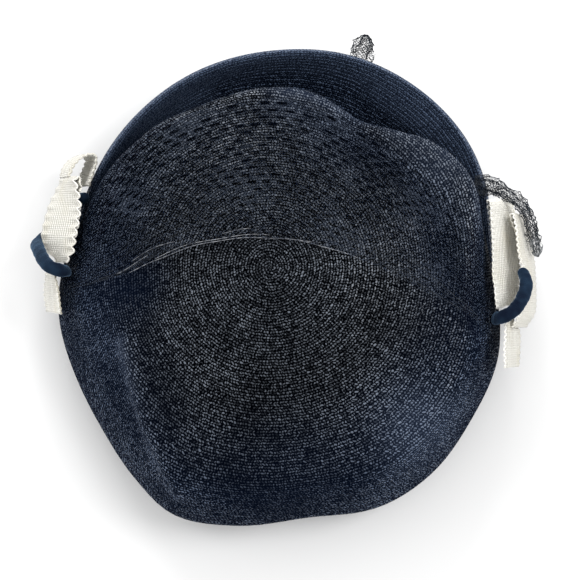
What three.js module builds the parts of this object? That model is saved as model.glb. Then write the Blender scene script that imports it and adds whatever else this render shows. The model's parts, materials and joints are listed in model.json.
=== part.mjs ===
// A straw tilt hat lying on a table: a shallow blocked crown, a brim turned up round its front half, a band of
// veiling drawn over the crown, and at each side a bow of ribbed white ribbon held by a loop of velvet ribbon.
// Millimetres. +Z is up, +Y is towards the turned-up brim and +X is the wearer's right.
import * as THREE from "three";

// Driving sizes.
const crownRadius = 110; // tip to the foot of the crown, averaged round it
const crownHeight = 76; // table to the tip
const strawWall = 2; // sewn straw braid
const brimHeight = 42; // table to the highest part of the turned-up edge
const brimRadius = 116; // tip to the turned-up edge, averaged
const brimSeat = 6; // height at which the brim is sewn to the crown
const lipDrop = 3; // how far the rolled edge turns down again
const lipWidth = 5; // and how wide that roll is
const seamGap = 0.4; // between two pieces that are sewn together
const netThickness = 1; // the veiling, several times folded
const netGap = 1; // between the veiling and the straw
const ribbonWidth = 40;
const ribbonThickness = 1;
const velvetWidth = 6.4; // a quarter-inch ribbon, doubled round
const velvetThickness = 4.6;
const tailWidth = 12; // the gathered end of the veiling beside the right bow
const tailThickness = 4;
const tuftWidth = 13; // the loose end of the veiling in front of the brim
const tuftThickness = 8;

// How finely the soft pieces are faceted.
const crownColumns = 72;
const crownRows = 18;
const brimColumns = 44;
const brimRows = 9;
const veilColumns = 30;
const veilRows = 9;
const ribbonStep = 2.5;
const tubeStep = 3;
const tubeSides = 10;

const degrees = Math.PI / 180;

// The crown, section by section round its tip, anticlockwise from +X. Ridge and foot are shares of the crown's
// radius, height is the ridge's share of the crown's height, and valley is how far the top dips inside the ridge.
const crownSections = [
  { angle: 0, ridge: 0.895, height: 0.87, foot: 0.99, valley: 0.03 },
  { angle: 14, ridge: 0.935, height: 0.89, foot: 0.965, valley: 0.05 },
  { angle: 25, ridge: 0.97, height: 0.91, foot: 0.93, valley: 0.055 },
  { angle: 38, ridge: 0.92, height: 0.92, foot: 0.88, valley: 0.05 },
  { angle: 50, ridge: 0.825, height: 0.91, foot: 0.83, valley: 0.03 },
  { angle: 62, ridge: 0.775, height: 0.9, foot: 0.8, valley: 0.01 },
  { angle: 76, ridge: 0.81, height: 0.91, foot: 0.79, valley: 0.02 },
  { angle: 92, ridge: 0.82, height: 0.92, foot: 0.785, valley: 0.01 },
  { angle: 112, ridge: 0.8, height: 0.92, foot: 0.78, valley: 0.01 },
  { angle: 132, ridge: 0.82, height: 0.91, foot: 0.795, valley: 0.02 },
  { angle: 150, ridge: 0.84, height: 0.88, foot: 0.84, valley: 0.035 },
  { angle: 168, ridge: 0.82, height: 0.85, foot: 0.91, valley: 0.03 },
  { angle: 185, ridge: 0.76, height: 0.84, foot: 0.945, valley: 0.02 },
  { angle: 206, ridge: 0.705, height: 0.87, foot: 0.945, valley: 0 },
  { angle: 221, ridge: 0.76, height: 0.87, foot: 0.97, valley: 0 },
  { angle: 235, ridge: 0.87, height: 0.86, foot: 1.03, valley: 0 },
  { angle: 247, ridge: 0.965, height: 0.85, foot: 1.085, valley: 0 },
  { angle: 261, ridge: 0.955, height: 0.84, foot: 1.06, valley: 0.01 },
  { angle: 279, ridge: 0.93, height: 0.84, foot: 1.025, valley: 0.02 },
  { angle: 296, ridge: 0.965, height: 0.84, foot: 1.075, valley: 0.01 },
  { angle: 310, ridge: 0.975, height: 0.84, foot: 1.08, valley: 0.01 },
  { angle: 326, ridge: 0.96, height: 0.84, foot: 1.055, valley: 0.02 },
  { angle: 343, ridge: 0.92, height: 0.85, foot: 1.045, valley: 0.02 },
];

// Soft dents in the top, placed and sized by shares of the crown's radius, with their depth a share of its height.
const dents = [
  { name: "beside the veil's edge", angle: 185, reach: 0.6, spread: 0.17, depth: 0.06 },
  { name: "behind the front ridge", angle: 62, reach: 0.62, spread: 0.15, depth: 0.035 },
  { name: "towards the back right", angle: 312, reach: 0.78, spread: 0.2, depth: 0.03 },
];

// The brim from its right end to its left one: edge is a share of the brim's radius, height of its height, and
// steepness says how upright its wall stands.
const brimSections = [
  { angle: 5, edge: 0.985, height: 0.28, steepness: 0.6 },
  { angle: 11, edge: 0.985, height: 0.42, steepness: 0.55 },
  { angle: 17, edge: 0.995, height: 0.58, steepness: 0.5 },
  { angle: 26, edge: 1.03, height: 0.72, steepness: 0.35 },
  { angle: 38, edge: 1.06, height: 0.8, steepness: 0.3 },
  { angle: 54, edge: 1.07, height: 0.86, steepness: 0.4 },
  { angle: 72, edge: 1.058, height: 0.92, steepness: 0.65 },
  { angle: 90, edge: 1.018, height: 0.97, steepness: 0.8 },
  { angle: 108, edge: 0.98, height: 1, steepness: 0.85 },
  { angle: 126, edge: 0.937, height: 1, steepness: 0.85 },
  { angle: 142, edge: 0.902, height: 0.97, steepness: 0.85 },
  { angle: 154, edge: 0.885, height: 0.86, steepness: 0.85 },
  { angle: 163, edge: 0.9, height: 0.55, steepness: 0.85 },
  { angle: 171, edge: 0.93, height: 0.28, steepness: 0.85 },
];

// The veiling's two long edges, from the left bow to the right one, on the crown rolled out flat round its tip:
// reach is the distance from the tip along the straw, as a share of the crown's radius.
const veilBackEdge = [
  { angle: 183, reach: 1.04 },
  { angle: 183, reach: 0.74 },
  { angle: 175, reach: 0.48 },
  { angle: 156, reach: 0.26 },
  { angle: 100, reach: 0.124 },
  { angle: 32, reach: 0.19 },
  { angle: 2, reach: 0.425 },
  { angle: -8, reach: 0.66 },
  { angle: -13, reach: 0.88 },
  { angle: -16, reach: 1.02 },
];
const veilFrontEdge = [
  { angle: 178, reach: 1.06 },
  { angle: 160, reach: 0.88 },
  { angle: 128, reach: 0.79 },
  { angle: 84, reach: 0.755 },
  { angle: 48, reach: 0.74 },
  { angle: 18, reach: 0.86 },
  { angle: -11, reach: 1.03 },
];

// Ribbon loops along their middle line in plan, from the tip's axis: x and y are shares of the crown's radius and
// height is one of its height. Tilt and lead say how far the ribbon's upper edge stands to the side and to the
// front, for each millimetre of height, and width is a share of the ribbon's own.
const ribbons = [
  { name: "bow_left_front_loop", height: 0.671, width: 1, lead: -0.22, path: [
    { x: -0.917, y: 0.065, tilt: 0.35, width: 0.45 },
    { x: -0.927, y: 0.115, tilt: 0.55, width: 0.8 },
    { x: -0.936, y: 0.172, tilt: 0.63, width: 0.98 },
    { x: -0.927, y: 0.236, tilt: 0.63, width: 1 },
    { x: -0.913, y: 0.318, tilt: 0.58, width: 1 },
    { x: -0.904, y: 0.391, tilt: 0.42, width: 0.98 },
    { x: -0.899, y: 0.433, tilt: 0.34, width: 0.95 },
    { x: -0.885, y: 0.449, tilt: 0.33, width: 0.92 },
    { x: -0.873, y: 0.431, tilt: 0.35, width: 0.9 },
    { x: -0.873, y: 0.377, tilt: 0.4, width: 0.85 },
  ] },
  { name: "bow_left_inner_loop", height: 0.599, width: 0.84, lead: -0.22, path: [
    { x: -0.92, y: 0.116, tilt: 0.42, width: 0.55 },
    { x: -0.918, y: 0.159, tilt: 0.5, width: 0.85 },
    { x: -0.911, y: 0.236, tilt: 0.53, width: 1 },
    { x: -0.904, y: 0.3, tilt: 0.5, width: 1 },
    { x: -0.895, y: 0.324, tilt: 0.46, width: 1 },
    { x: -0.886, y: 0.302, tilt: 0.4, width: 0.95 },
    { x: -0.892, y: 0.241, tilt: 0.38, width: 0.88 },
  ] },
  { name: "bow_left_upper_loop", height: 0.487, width: 0.8, lead: -0.22, path: [
    { x: -0.931, y: 0.478, tilt: 0.3, width: 1 },
    { x: -0.918, y: 0.524, tilt: 0.32, width: 1 },
    { x: -0.887, y: 0.562, tilt: 0.33, width: 1 },
    { x: -0.845, y: 0.582, tilt: 0.32, width: 1 },
    { x: -0.815, y: 0.575, tilt: 0.32, width: 1 },
    { x: -0.811, y: 0.545, tilt: 0.32, width: 1 },
    { x: -0.827, y: 0.495, tilt: 0.34, width: 1 },
    { x: -0.847, y: 0.436, tilt: 0.36, width: 1 },
  ] },
  { name: "bow_left_tail", height: 0.592, width: 0.92, lead: -0.2, path: [
    { x: -0.971, y: 0.044, tilt: 0.3, width: 0.72 },
    { x: -0.964, y: -0.032, tilt: 0.36, width: 0.9 },
    { x: -0.96, y: -0.082, tilt: 0.36, width: 1 },
    { x: -0.949, y: -0.15, tilt: 0.35, width: 1 },
  ] },
  { name: "bow_right_front_loop", height: 0.592, width: 1, lead: -0.25, path: [
    { x: 1.02, y: -0.122, tilt: -0.38, width: 0.68 },
    { x: 1.035, y: -0.073, tilt: -0.45, width: 0.93 },
    { x: 1.038, y: -0.009, tilt: -0.49, width: 1 },
    { x: 1.035, y: 0.091, tilt: -0.49, width: 1 },
    { x: 1.033, y: 0.2, tilt: -0.48, width: 1 },
    { x: 1.026, y: 0.291, tilt: -0.46, width: 1 },
    { x: 1.02, y: 0.344, tilt: -0.43, width: 1 },
    { x: 1.009, y: 0.359, tilt: -0.42, width: 0.93 },
    { x: 1.001, y: 0.338, tilt: -0.41, width: 0.75 },
    { x: 1.005, y: 0.269, tilt: -0.42, width: 0.62 },
    { x: 1.011, y: 0.164, tilt: -0.43, width: 0.58 },
    { x: 1.014, y: 0.036, tilt: -0.43, width: 0.55 },
  ] },
  { name: "bow_right_outer_loop", height: 0.5, width: 0.78, lead: -0.17, path: [
    { x: 1.12, y: 0.127, tilt: -0.42, width: 0.4 },
    { x: 1.113, y: 0.2, tilt: -0.42, width: 0.45 },
    { x: 1.096, y: 0.262, tilt: -0.4, width: 0.65 },
    { x: 1.094, y: 0.302, tilt: -0.36, width: 0.85 },
    { x: 1.108, y: 0.305, tilt: -0.36, width: 0.95 },
    { x: 1.126, y: 0.241, tilt: -0.38, width: 0.95 },
    { x: 1.136, y: 0.136, tilt: -0.38, width: 1 },
    { x: 1.145, y: 0.082, tilt: -0.38, width: 0.93 },
    { x: 1.15, y: 0.018, tilt: -0.38, width: 0.82 },
    { x: 1.15, y: -0.055, tilt: -0.38, width: 0.84 },
    { x: 1.136, y: -0.145, tilt: -0.4, width: 0.95 },
    { x: 1.098, y: -0.205, tilt: -0.4, width: 0.9 },
  ] },
  { name: "bow_right_tail", height: 0.592, width: 0.9, lead: -0.15, path: [
    { x: 1.047, y: -0.178, tilt: -0.3, width: 0.66 },
    { x: 1.059, y: -0.236, tilt: -0.35, width: 0.95 },
    { x: 1.056, y: -0.315, tilt: -0.35, width: 1 },
    { x: 1.054, y: -0.391, tilt: -0.32, width: 1 },
  ] },
];

// The velvet loops round the middles of the bows, and the free ends of the veiling: a gathered tail at the right
// and a tuft in front of the brim. Places are from the tip's axis and the table, as shares of the crown's radius and
// height, and for the tuft of the brim's. Wide and thick are shares of the piece's own width and thickness.
const velvets = [
  { name: "velvet_loop_left", reach: crownRadius, rise: crownHeight, wide: velvetWidth, thick: velvetThickness, path: [
    { x: -0.887, y: 0.024, z: 0.697 },
    { x: -0.907, y: 0.014, z: 0.789 },
    { x: -0.945, y: 0.023, z: 0.809 },
    { x: -0.983, y: 0.054, z: 0.763 },
    { x: -1.018, y: 0.102, z: 0.671 },
    { x: -1.042, y: 0.144, z: 0.566 },
    { x: -1.059, y: 0.176, z: 0.454 },
    { x: -1.053, y: 0.214, z: 0.336, wide: 0.9 },
    { x: -1.005, y: 0.282, z: 0.243, wide: 0.9 },
    { x: -0.95, y: 0.341, z: 0.243, wide: 0.9 },
    { x: -0.898, y: 0.375, z: 0.368, wide: 0.9 },
    { x: -0.855, y: 0.373, z: 0.526, wide: 0.95 },
    { x: -0.82, y: 0.356, z: 0.638 },
  ] },
  { name: "velvet_loop_right", reach: crownRadius, rise: crownHeight, wide: velvetWidth, thick: velvetThickness, path: [
    { x: 0.972, y: -0.19, z: 0.724 },
    { x: 1.002, y: -0.193, z: 0.809 },
    { x: 1.045, y: -0.173, z: 0.816 },
    { x: 1.075, y: -0.142, z: 0.803 },
    { x: 1.098, y: -0.105, z: 0.783 },
    { x: 1.114, y: -0.064, z: 0.763 },
    { x: 1.118, y: -0.027, z: 0.743, wide: 0.95 },
    { x: 1.112, y: 0.005, z: 0.718, wide: 0.85 },
    { x: 1.102, y: 0.031, z: 0.695, wide: 0.7 },
  ] },
];
const veilEnds = [
  { name: "veil_tail_right", reach: crownRadius, rise: crownHeight, wide: tailWidth, thick: tailThickness, path: [
    { x: 0.918, y: 0.442, z: 0.428, wide: 0.917, thick: 0.45 },
    { x: 0.964, y: 0.449, z: 0.447, wide: 1, thick: 0.45 },
    { x: 1.015, y: 0.42, z: 0.513, wide: 0.72, thick: 0.6 },
    { x: 1.059, y: 0.385, z: 0.559, wide: 0.62, thick: 0.75 },
    { x: 1.105, y: 0.349, z: 0.572, wide: 0.56, thick: 0.875 },
    { x: 1.138, y: 0.298, z: 0.566, wide: 0.54, thick: 1 },
    { x: 1.158, y: 0.244, z: 0.539, wide: 0.54, thick: 1 },
    { x: 1.177, y: 0.187, z: 0.487, wide: 0.54, thick: 1 },
    { x: 1.2, y: 0.128, z: 0.408, wide: 0.417, thick: 0.75 },
  ] },
  { name: "veil_tuft_front", reach: brimRadius, rise: brimHeight, wide: tuftWidth, thick: tuftThickness, path: [
    { x: 0.353, y: 0.946, z: 0.5, wide: 0.538, thick: 0.625 },
    { x: 0.371, y: 0.978, z: 0.548, wide: 0.769, thick: 0.875 },
    { x: 0.394, y: 1.034, z: 0.595, wide: 1, thick: 1 },
    { x: 0.408, y: 1.082, z: 0.643, wide: 0.769, thick: 0.875 },
    { x: 0.419, y: 1.114, z: 0.69, wide: 0.308, thick: 0.375 },
  ] },
];

// A named value of a table of sections at any angle, smoothly and all the way round if the table closes.
function columnAt(table, name, angle, closed) {
  const count = table.length;
  const at = (i) => {
    if (!closed) return table[Math.min(Math.max(i, 0), count - 1)];
    const turns = Math.floor(i / count);
    const row = table[i - turns * count];
    return { ...row, angle: row.angle + 360 * turns };
  };
  const first = table[0].angle;
  const wanted = closed ? first + ((((angle - first) % 360) + 360) % 360) : angle;
  let i = 0;
  while (i < (closed ? count : count - 1) - 1 && at(i + 1).angle <= wanted) i += 1;
  const [before, low, high, after] = [at(i - 1), at(i), at(i + 1), at(i + 2)];
  const span = high.angle - low.angle;
  const t = Math.min(Math.max((wanted - low.angle) / span, 0), 1);
  const slope = (a, b) => (b.angle === a.angle ? 0 : ((b[name] - a[name]) / (b.angle - a.angle)) * span);
  const [m0, m1] = [slope(before, high), slope(low, after)];
  const [t2, t3] = [t * t, t * t * t];
  return (2 * t3 - 3 * t2 + 1) * low[name] + (t3 - 2 * t2 + t) * m0 + (3 * t2 - 2 * t3) * high[name] + (t3 - t2) * m1;
}

// The crown's outside at one angle, as a curve of radius and height from the tip to the foot.
const bellyHeight = 0.32;
const bellySwell = 1.02;
const shoulderDrop = 0.07;
function crownSection(angle) {
  const value = (name) => columnAt(crownSections, name, angle, true);
  const ridge = value("ridge") * crownRadius;
  const ridgeHeight = value("height") * crownHeight;
  const foot = value("foot") * crownRadius;
  const belly = foot * bellySwell;
  const valleyHeight = crownHeight + 0.6 * (ridgeHeight - crownHeight) - value("valley") * crownHeight;
  return new THREE.SplineCurve([
    new THREE.Vector2(0, crownHeight),
    new THREE.Vector2(0.42 * ridge, crownHeight * 0.993),
    new THREE.Vector2(0.8 * ridge, valleyHeight),
    new THREE.Vector2(0.945 * ridge, ridgeHeight + 0.01 * crownHeight),
    new THREE.Vector2(ridge + 0.12 * (belly - ridge), ridgeHeight - shoulderDrop * crownHeight),
    new THREE.Vector2(ridge + 0.62 * (belly - ridge), 0.6 * crownHeight),
    new THREE.Vector2(belly, bellyHeight * crownHeight),
    new THREE.Vector2(foot, 0),
  ]);
}

// The depth of the dents at a place on the crown.
function dentAt(x, y) {
  return dents.reduce((sum, dent) => {
    const reach = dent.reach * crownRadius;
    const away = Math.hypot(x - reach * Math.cos(dent.angle * degrees), y - reach * Math.sin(dent.angle * degrees));
    return sum + dent.depth * crownHeight * Math.exp(-((away / (dent.spread * crownRadius)) ** 2));
  }, 0);
}

// A place on the crown's outside: angle round the tip and share of the way down to the foot, along the straw.
const sectionCache = new Map();
function crownPoint(angle, share) {
  const key = angle.toFixed(3);
  if (!sectionCache.has(key)) sectionCache.set(key, crownSection(angle));
  const at = sectionCache.get(key).getPointAt(Math.min(Math.max(share, 0), 1));
  const [x, y] = [at.x * Math.cos(angle * degrees), at.x * Math.sin(angle * degrees)];
  return new THREE.Vector3(x, y, at.y - dentAt(x, y));
}

// The crown's outside radius at a height of its wall.
function crownWallRadius(angle, height) {
  let [low, high] = [0.5, 1];
  for (let i = 0; i < 24; i += 1) {
    const middle = (low + high) / 2;
    if (crownPoint(angle, middle).z > height) low = middle;
    else high = middle;
  }
  const at = crownPoint(angle, high);
  return Math.hypot(at.x, at.y);
}

// A closed wall made from a sheet: place(u, v) gives a point of the sheet, and the wall lies between the two
// offsets along the sheet's normal. A sheet closed round u can start in a pole, and flat is the height at which
// its last row is cut level.
function wall({ columns, rows, place, offsets, closed = false, pole = false, flat = null }) {
  const step = 1e-3;
  const normalAt = (u, v) => {
    if (pole && v < step) return new THREE.Vector3(0, 0, 1);
    const [u0, u1] = closed ? [u - step, u + step] : [Math.max(u - step, 0), Math.min(u + step, 1)];
    const [v0, v1] = [Math.max(v - step, 0), Math.min(v + step, 1)];
    const alongU = place(u1, v).clone().sub(place(u0, v));
    const alongV = place(u, v1).clone().sub(place(u, v0));
    return alongV.cross(alongU).normalize();
  };
  const points = [];
  const ring = closed ? columns : columns + 1;
  const firstRow = pole ? 1 : 0;
  const ids = [[], []];
  const poles = [];
  offsets.forEach((offset, side) => {
    if (pole) {
      poles[side] = points.length;
      points.push(place(0, 0).clone().addScaledVector(normalAt(0, 0), offset));
    }
    for (let j = firstRow; j <= rows; j += 1) {
      const row = [];
      for (let i = 0; i < ring; i += 1) {
        const [u, v] = [i / columns, j / rows];
        const point = place(u, v).clone().addScaledVector(normalAt(u, v), offset);
        if (flat !== null && j === rows) point.z = flat;
        row.push(points.length);
        points.push(point);
      }
      ids[side].push(row);
    }
  });
  const faces = [];
  const quad = (a, b, c, d) => faces.push(a, b, c, a, c, d);
  const spans = closed ? ring : ring - 1;
  const height = ids[0].length;
  for (let i = 0; i < spans; i += 1) {
    const next = (i + 1) % ring;
    for (let j = 0; j < height - 1; j += 1) {
      quad(ids[0][j][i], ids[0][j][next], ids[0][j + 1][next], ids[0][j + 1][i]);
      quad(ids[1][j][next], ids[1][j][i], ids[1][j + 1][i], ids[1][j + 1][next]);
    }
    quad(ids[0][height - 1][i], ids[0][height - 1][next], ids[1][height - 1][next], ids[1][height - 1][i]);
    if (pole) {
      faces.push(poles[0], ids[0][0][next], ids[0][0][i]);
      faces.push(poles[1], ids[1][0][i], ids[1][0][next]);
    } else quad(ids[1][0][i], ids[1][0][next], ids[0][0][next], ids[0][0][i]);
  }
  if (!closed) {
    const last = ring - 1;
    for (let j = 0; j < height - 1; j += 1) {
      quad(ids[1][j][0], ids[0][j][0], ids[0][j + 1][0], ids[1][j + 1][0]);
      quad(ids[0][j][last], ids[1][j][last], ids[1][j + 1][last], ids[0][j + 1][last]);
    }
  }
  const geometry = new THREE.BufferGeometry().setFromPoints(points);
  geometry.setIndex(faces);
  return geometry;
}

// Materials.
const straw = new THREE.MeshStandardMaterial({ color: 0x14171f, roughness: 0.5, metalness: 0 });
const net = new THREE.MeshStandardMaterial({ color: 0x20242f, roughness: 0.7, metalness: 0 });
const ribbon = new THREE.MeshStandardMaterial({ color: 0xefece2, roughness: 0.75, metalness: 0 });
const velvet = new THREE.MeshStandardMaterial({ color: 0x0b1628, roughness: 0.95, metalness: 0 });

const hat = new THREE.Group();
function add(name, geometry, material) {
  const mesh = new THREE.Mesh(geometry, material);
  mesh.name = name;
  hat.add(mesh);
}

function makeCrown() {
  const geometry = wall({
    columns: crownColumns,
    rows: crownRows,
    place: (u, v) => crownPoint(360 * u, v + 0.09 * Math.sin(2 * Math.PI * v)),
    offsets: [-strawWall, 0],
    closed: true,
    pole: true,
    flat: 0,
  });
  add("crown", geometry, straw);
}

// The brim's inside at one angle, from its seam on the crown down into the gutter, up the wall and over the lip.
function brimSection(angle) {
  const value = (name) => columnAt(brimSections, name, angle, false);
  const edge = value("edge") * brimRadius;
  const height = value("height") * brimHeight;
  const clear = seamGap + strawWall;
  const seat = crownWallRadius(angle, brimSeat) + clear;
  const gutter = Math.max(seat + 0.3 * (edge - seat), crownWallRadius(angle, brimSeat / 2) + clear);
  const upright = edge - lipWidth - (1 - value("steepness")) * 0.5 * (edge - seat);
  const halfway = Math.max(upright, crownWallRadius(angle, height / 2) + clear);
  const crest = Math.max(edge - 0.6 * lipWidth, crownWallRadius(angle, height) + clear);
  return new THREE.SplineCurve([
    new THREE.Vector2(seat, brimSeat),
    new THREE.Vector2(Math.min(gutter, halfway), 0.6 * brimSeat),
    new THREE.Vector2(halfway, 0.5 * height),
    new THREE.Vector2(crest - 0.3 * lipWidth, 0.92 * height),
    new THREE.Vector2(crest + 0.15 * lipWidth, height),
    new THREE.Vector2(Math.max(edge, crest + 0.6 * lipWidth), height - lipDrop),
  ]);
}

function makeBrim() {
  const first = brimSections[0].angle;
  const last = brimSections[brimSections.length - 1].angle;
  const sections = new Map();
  const place = (u, v) => {
    const angle = first + (last - first) * u;
    const key = angle.toFixed(4);
    if (!sections.has(key)) sections.set(key, brimSection(angle));
    const at = sections.get(key).getPointAt(v);
    return new THREE.Vector3(at.x * Math.cos(angle * degrees), at.x * Math.sin(angle * degrees), at.y);
  };
  const offsets = [-strawWall, 0];
  add("brim", wall({ columns: brimColumns, rows: brimRows, place, offsets }), straw);
}

// The veiling's edges are curves on the crown rolled out flat, and the sheet spans between them.
function rolledOut(edge) {
  return new THREE.CatmullRomCurve3(
    edge.map(({ angle, reach }) => {
      const distance = reach * crownRadius;
      return new THREE.Vector3(distance * Math.cos(angle * degrees), distance * Math.sin(angle * degrees), 0);
    }),
  );
}

function makeVeil() {
  const back = rolledOut(veilBackEdge);
  const front = rolledOut(veilFrontEdge);
  const place = (u, v) => {
    const flat = back.getPointAt(u).lerp(front.getPointAt(u), v);
    const angle = Math.atan2(flat.y, flat.x) / degrees;
    const section = crownSection(angle);
    return crownPoint(angle, Math.hypot(flat.x, flat.y) / section.getLength());
  };
  const offsets = [-netGap - netThickness, -netGap];
  add("veil_band", wall({ columns: veilColumns, rows: veilRows, place, offsets }), net);
}

// A smooth curve through the named columns of a path's rows, each times the size that it is a share of. A row that
// leaves out a column has the whole size there.
function curveOf(path, sizes) {
  const columns = Object.entries(sizes);
  return new THREE.CatmullRomCurve3(
    path.map((row) => new THREE.Vector3(...columns.map(([name, size]) => (row[name] ?? 1) * size))),
  );
}

// A ribbon stands on its edge along its path.
function makeRibbon({ name, height, width, lead, path }) {
  const along = curveOf(path, { x: crownRadius, y: crownRadius });
  const shape = curveOf(path, { tilt: 1, width: 1 });
  const place = (u, v) => {
    const t = along.getUtoTmapping(u);
    const { x: tilt, y: share } = shape.getPoint(t);
    const up = new THREE.Vector3(tilt, lead, 1).normalize();
    const foot = along.getPoint(t).setZ(height * crownHeight);
    return foot.addScaledVector(up, (v - 0.5) * share * width * ribbonWidth);
  };
  const half = ribbonThickness / 2;
  const columns = Math.ceil(along.getLength() / ribbonStep);
  add(name, wall({ columns, rows: 1, place, offsets: [-half, half] }), ribbon);
}

// A soft tube with an oval section along a path, closed by a rounded end at each side.
function makeTube({ name, reach, rise, wide, thick, path }, material) {
  const along = curveOf(path, { x: reach, y: reach, z: rise });
  const sizes = curveOf(path, { wide, thick });
  const steps = Math.ceil(along.getLength() / tubeStep);
  const points = [];
  const faces = [];
  for (let i = 0; i <= steps; i += 1) {
    const t = along.getUtoTmapping(i / steps);
    const forward = along.getTangent(t);
    const side = new THREE.Vector3(forward.y, -forward.x, 0).normalize();
    const over = side.clone().cross(forward);
    const size = sizes.getPoint(t);
    const blunt = i === 0 || i === steps ? 0.7 : 1;
    for (let j = 0; j < tubeSides; j += 1) {
      const turn = (2 * Math.PI * j) / tubeSides;
      const point = along.getPoint(t).addScaledVector(side, (blunt * size.x * Math.cos(turn)) / 2);
      points.push(point.addScaledVector(over, (blunt * size.y * Math.sin(turn)) / 2));
    }
  }
  const at = (i, j) => i * tubeSides + (j % tubeSides);
  const caps = [points.length, points.length + 1];
  points.push(along.getPoint(0).addScaledVector(along.getTangent(0), -thickOf(sizes, 0) / 4));
  points.push(along.getPoint(1).addScaledVector(along.getTangent(1), thickOf(sizes, 1) / 4));
  for (let j = 0; j < tubeSides; j += 1) {
    for (let i = 0; i < steps; i += 1) {
      faces.push(at(i, j), at(i + 1, j + 1), at(i, j + 1), at(i, j), at(i + 1, j), at(i + 1, j + 1));
    }
    faces.push(caps[0], at(0, j), at(0, j + 1), caps[1], at(steps, j + 1), at(steps, j));
  }
  const geometry = new THREE.BufferGeometry().setFromPoints(points);
  geometry.setIndex(faces);
  add(name, geometry, material);
}

function thickOf(sizes, t) {
  return sizes.getPoint(t).y;
}

makeCrown();
makeBrim();
makeVeil();
ribbons.forEach((table) => makeRibbon(table));
velvets.forEach((table) => makeTube(table, velvet));
veilEnds.forEach((table) => makeTube(table, net));

// The origin is the middle of the hat's own outline, on the table.
const box = new THREE.Box3().setFromObject(hat);
const middle = box.getCenter(new THREE.Vector3());
hat.children.forEach((mesh) => mesh.position.set(-middle.x, -middle.y, -box.min.z));

export default hat;
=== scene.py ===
# A straw tilt hat with veiling drawn over its crown and a ribbed white bow at each side
import json
import math

import bpy
import numpy as np
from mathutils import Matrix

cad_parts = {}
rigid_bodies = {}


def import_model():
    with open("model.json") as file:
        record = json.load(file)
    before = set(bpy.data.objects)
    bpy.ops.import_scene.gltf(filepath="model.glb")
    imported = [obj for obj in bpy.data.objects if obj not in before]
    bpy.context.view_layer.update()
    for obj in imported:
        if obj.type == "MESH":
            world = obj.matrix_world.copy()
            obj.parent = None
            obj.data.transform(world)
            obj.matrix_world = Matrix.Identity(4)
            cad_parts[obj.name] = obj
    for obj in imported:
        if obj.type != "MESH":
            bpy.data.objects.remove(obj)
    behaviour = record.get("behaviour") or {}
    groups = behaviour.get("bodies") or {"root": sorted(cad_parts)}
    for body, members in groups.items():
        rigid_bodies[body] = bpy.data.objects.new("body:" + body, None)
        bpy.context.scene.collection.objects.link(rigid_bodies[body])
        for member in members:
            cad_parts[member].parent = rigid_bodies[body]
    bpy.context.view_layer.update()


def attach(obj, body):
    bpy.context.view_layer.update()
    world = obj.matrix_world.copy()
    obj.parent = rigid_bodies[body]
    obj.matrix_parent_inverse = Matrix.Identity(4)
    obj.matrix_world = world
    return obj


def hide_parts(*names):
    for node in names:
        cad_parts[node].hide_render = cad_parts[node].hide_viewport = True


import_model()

# Sizes in millimetres, as the solids have them
TIP = np.array([-7.019, -6.404, 0.0])
CROWN_RADIUS = 110.0
CROWN_HEIGHT = 76.0
STRAW_WALL = 2.0
BRIM_HEIGHT = 42.0
BRIM_RADIUS = 116.0
BRIM_SEAT = 6.0
LIP_DROP = 3.0
LIP_WIDTH = 5.0
SEAM_GAP = 0.4
NET_GAP = 1.0
RIBBON_WIDTH = 40.0
RIBBON_THICKNESS = 1.0
VELVET_WIDTH = 6.4
VELVET_THICKNESS = 4.6
TAIL_WIDTH = 12.0
TAIL_THICKNESS = 4.0
TUFT_WIDTH = 13.0
TUFT_THICKNESS = 8.0

# Sizes in millimetres that only this script has: the net's lift off its gap, its length and depth
# over the crown and its rows of dashes, the ribbon's cords and weave, how far the velvet is drawn
# in, and how much cloth is one unit of the UV maps
NET_LIFT = 0.15
NET_LENGTH = 225
NET_DEPTH = 82
DASH_ROWS = 4.3
DASH_PITCH = 6.0
CORD_PITCH = 2.3
CORD_HEIGHT = 0.2
WEAVE_PITCH = 1.1
VELVET_DRAWN_IN = 1.1
CLOTH_SCALE = 250.0

# The thickness of a strand of gathered net, in metres
STRAND = 0.00036

# The camera: where it aims from the middle of the tip, how far it leans from straight down, how
# far away it stands, its focal length in pixels and the picture's side in pixels
AIM = np.array([9.285, -3.596, 35.0])
LEAN = 10
CAMERA_AWAY = 0.8
FOCUS_PIXELS = 1633
PICTURE_PIXELS = 580

# The sewn straw: rows of braid, how far each row stands up, rows to one unit of the UV map,
# and the row of that map on which the brim's edge lies
ROW_PITCH = 2.8
ROWS_TO_FOOT = 61
ROW_RELIEF = 0.13
ROW_SCALE = 128.0
BRIM_ROWS = 96

# Soft patches of painted light and painted shade on the straw: x, y, z, reach, how much lighter or
# darker it is painted
PAINTED_LIGHT_SPOTS = [
    (62, 64, 68, 20, 0.7),
    (84, 55, 66, 26, 1.1),
    (101, 34, 60, 24, 0.8),
    (72, -74, 62, 40, 0.7),
    (82, -38, 64, 30, -0.3),
    (-66, -6, 66, 38, -0.85),
    (-88, 32, 62, 34, -0.4),
    (-78, -68, 56, 34, -0.4),
    (0, -106, 62, 62, -0.68),
    (10, 82, 70, 20, 0.5),
    (34, 76, 70, 18, 0.5),
    (-46, 84, 28, 32, 2.2),
    (70, 88, 34, 36, 1.1),
    (-77, 61, 42, 26, 0.9),
]
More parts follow.
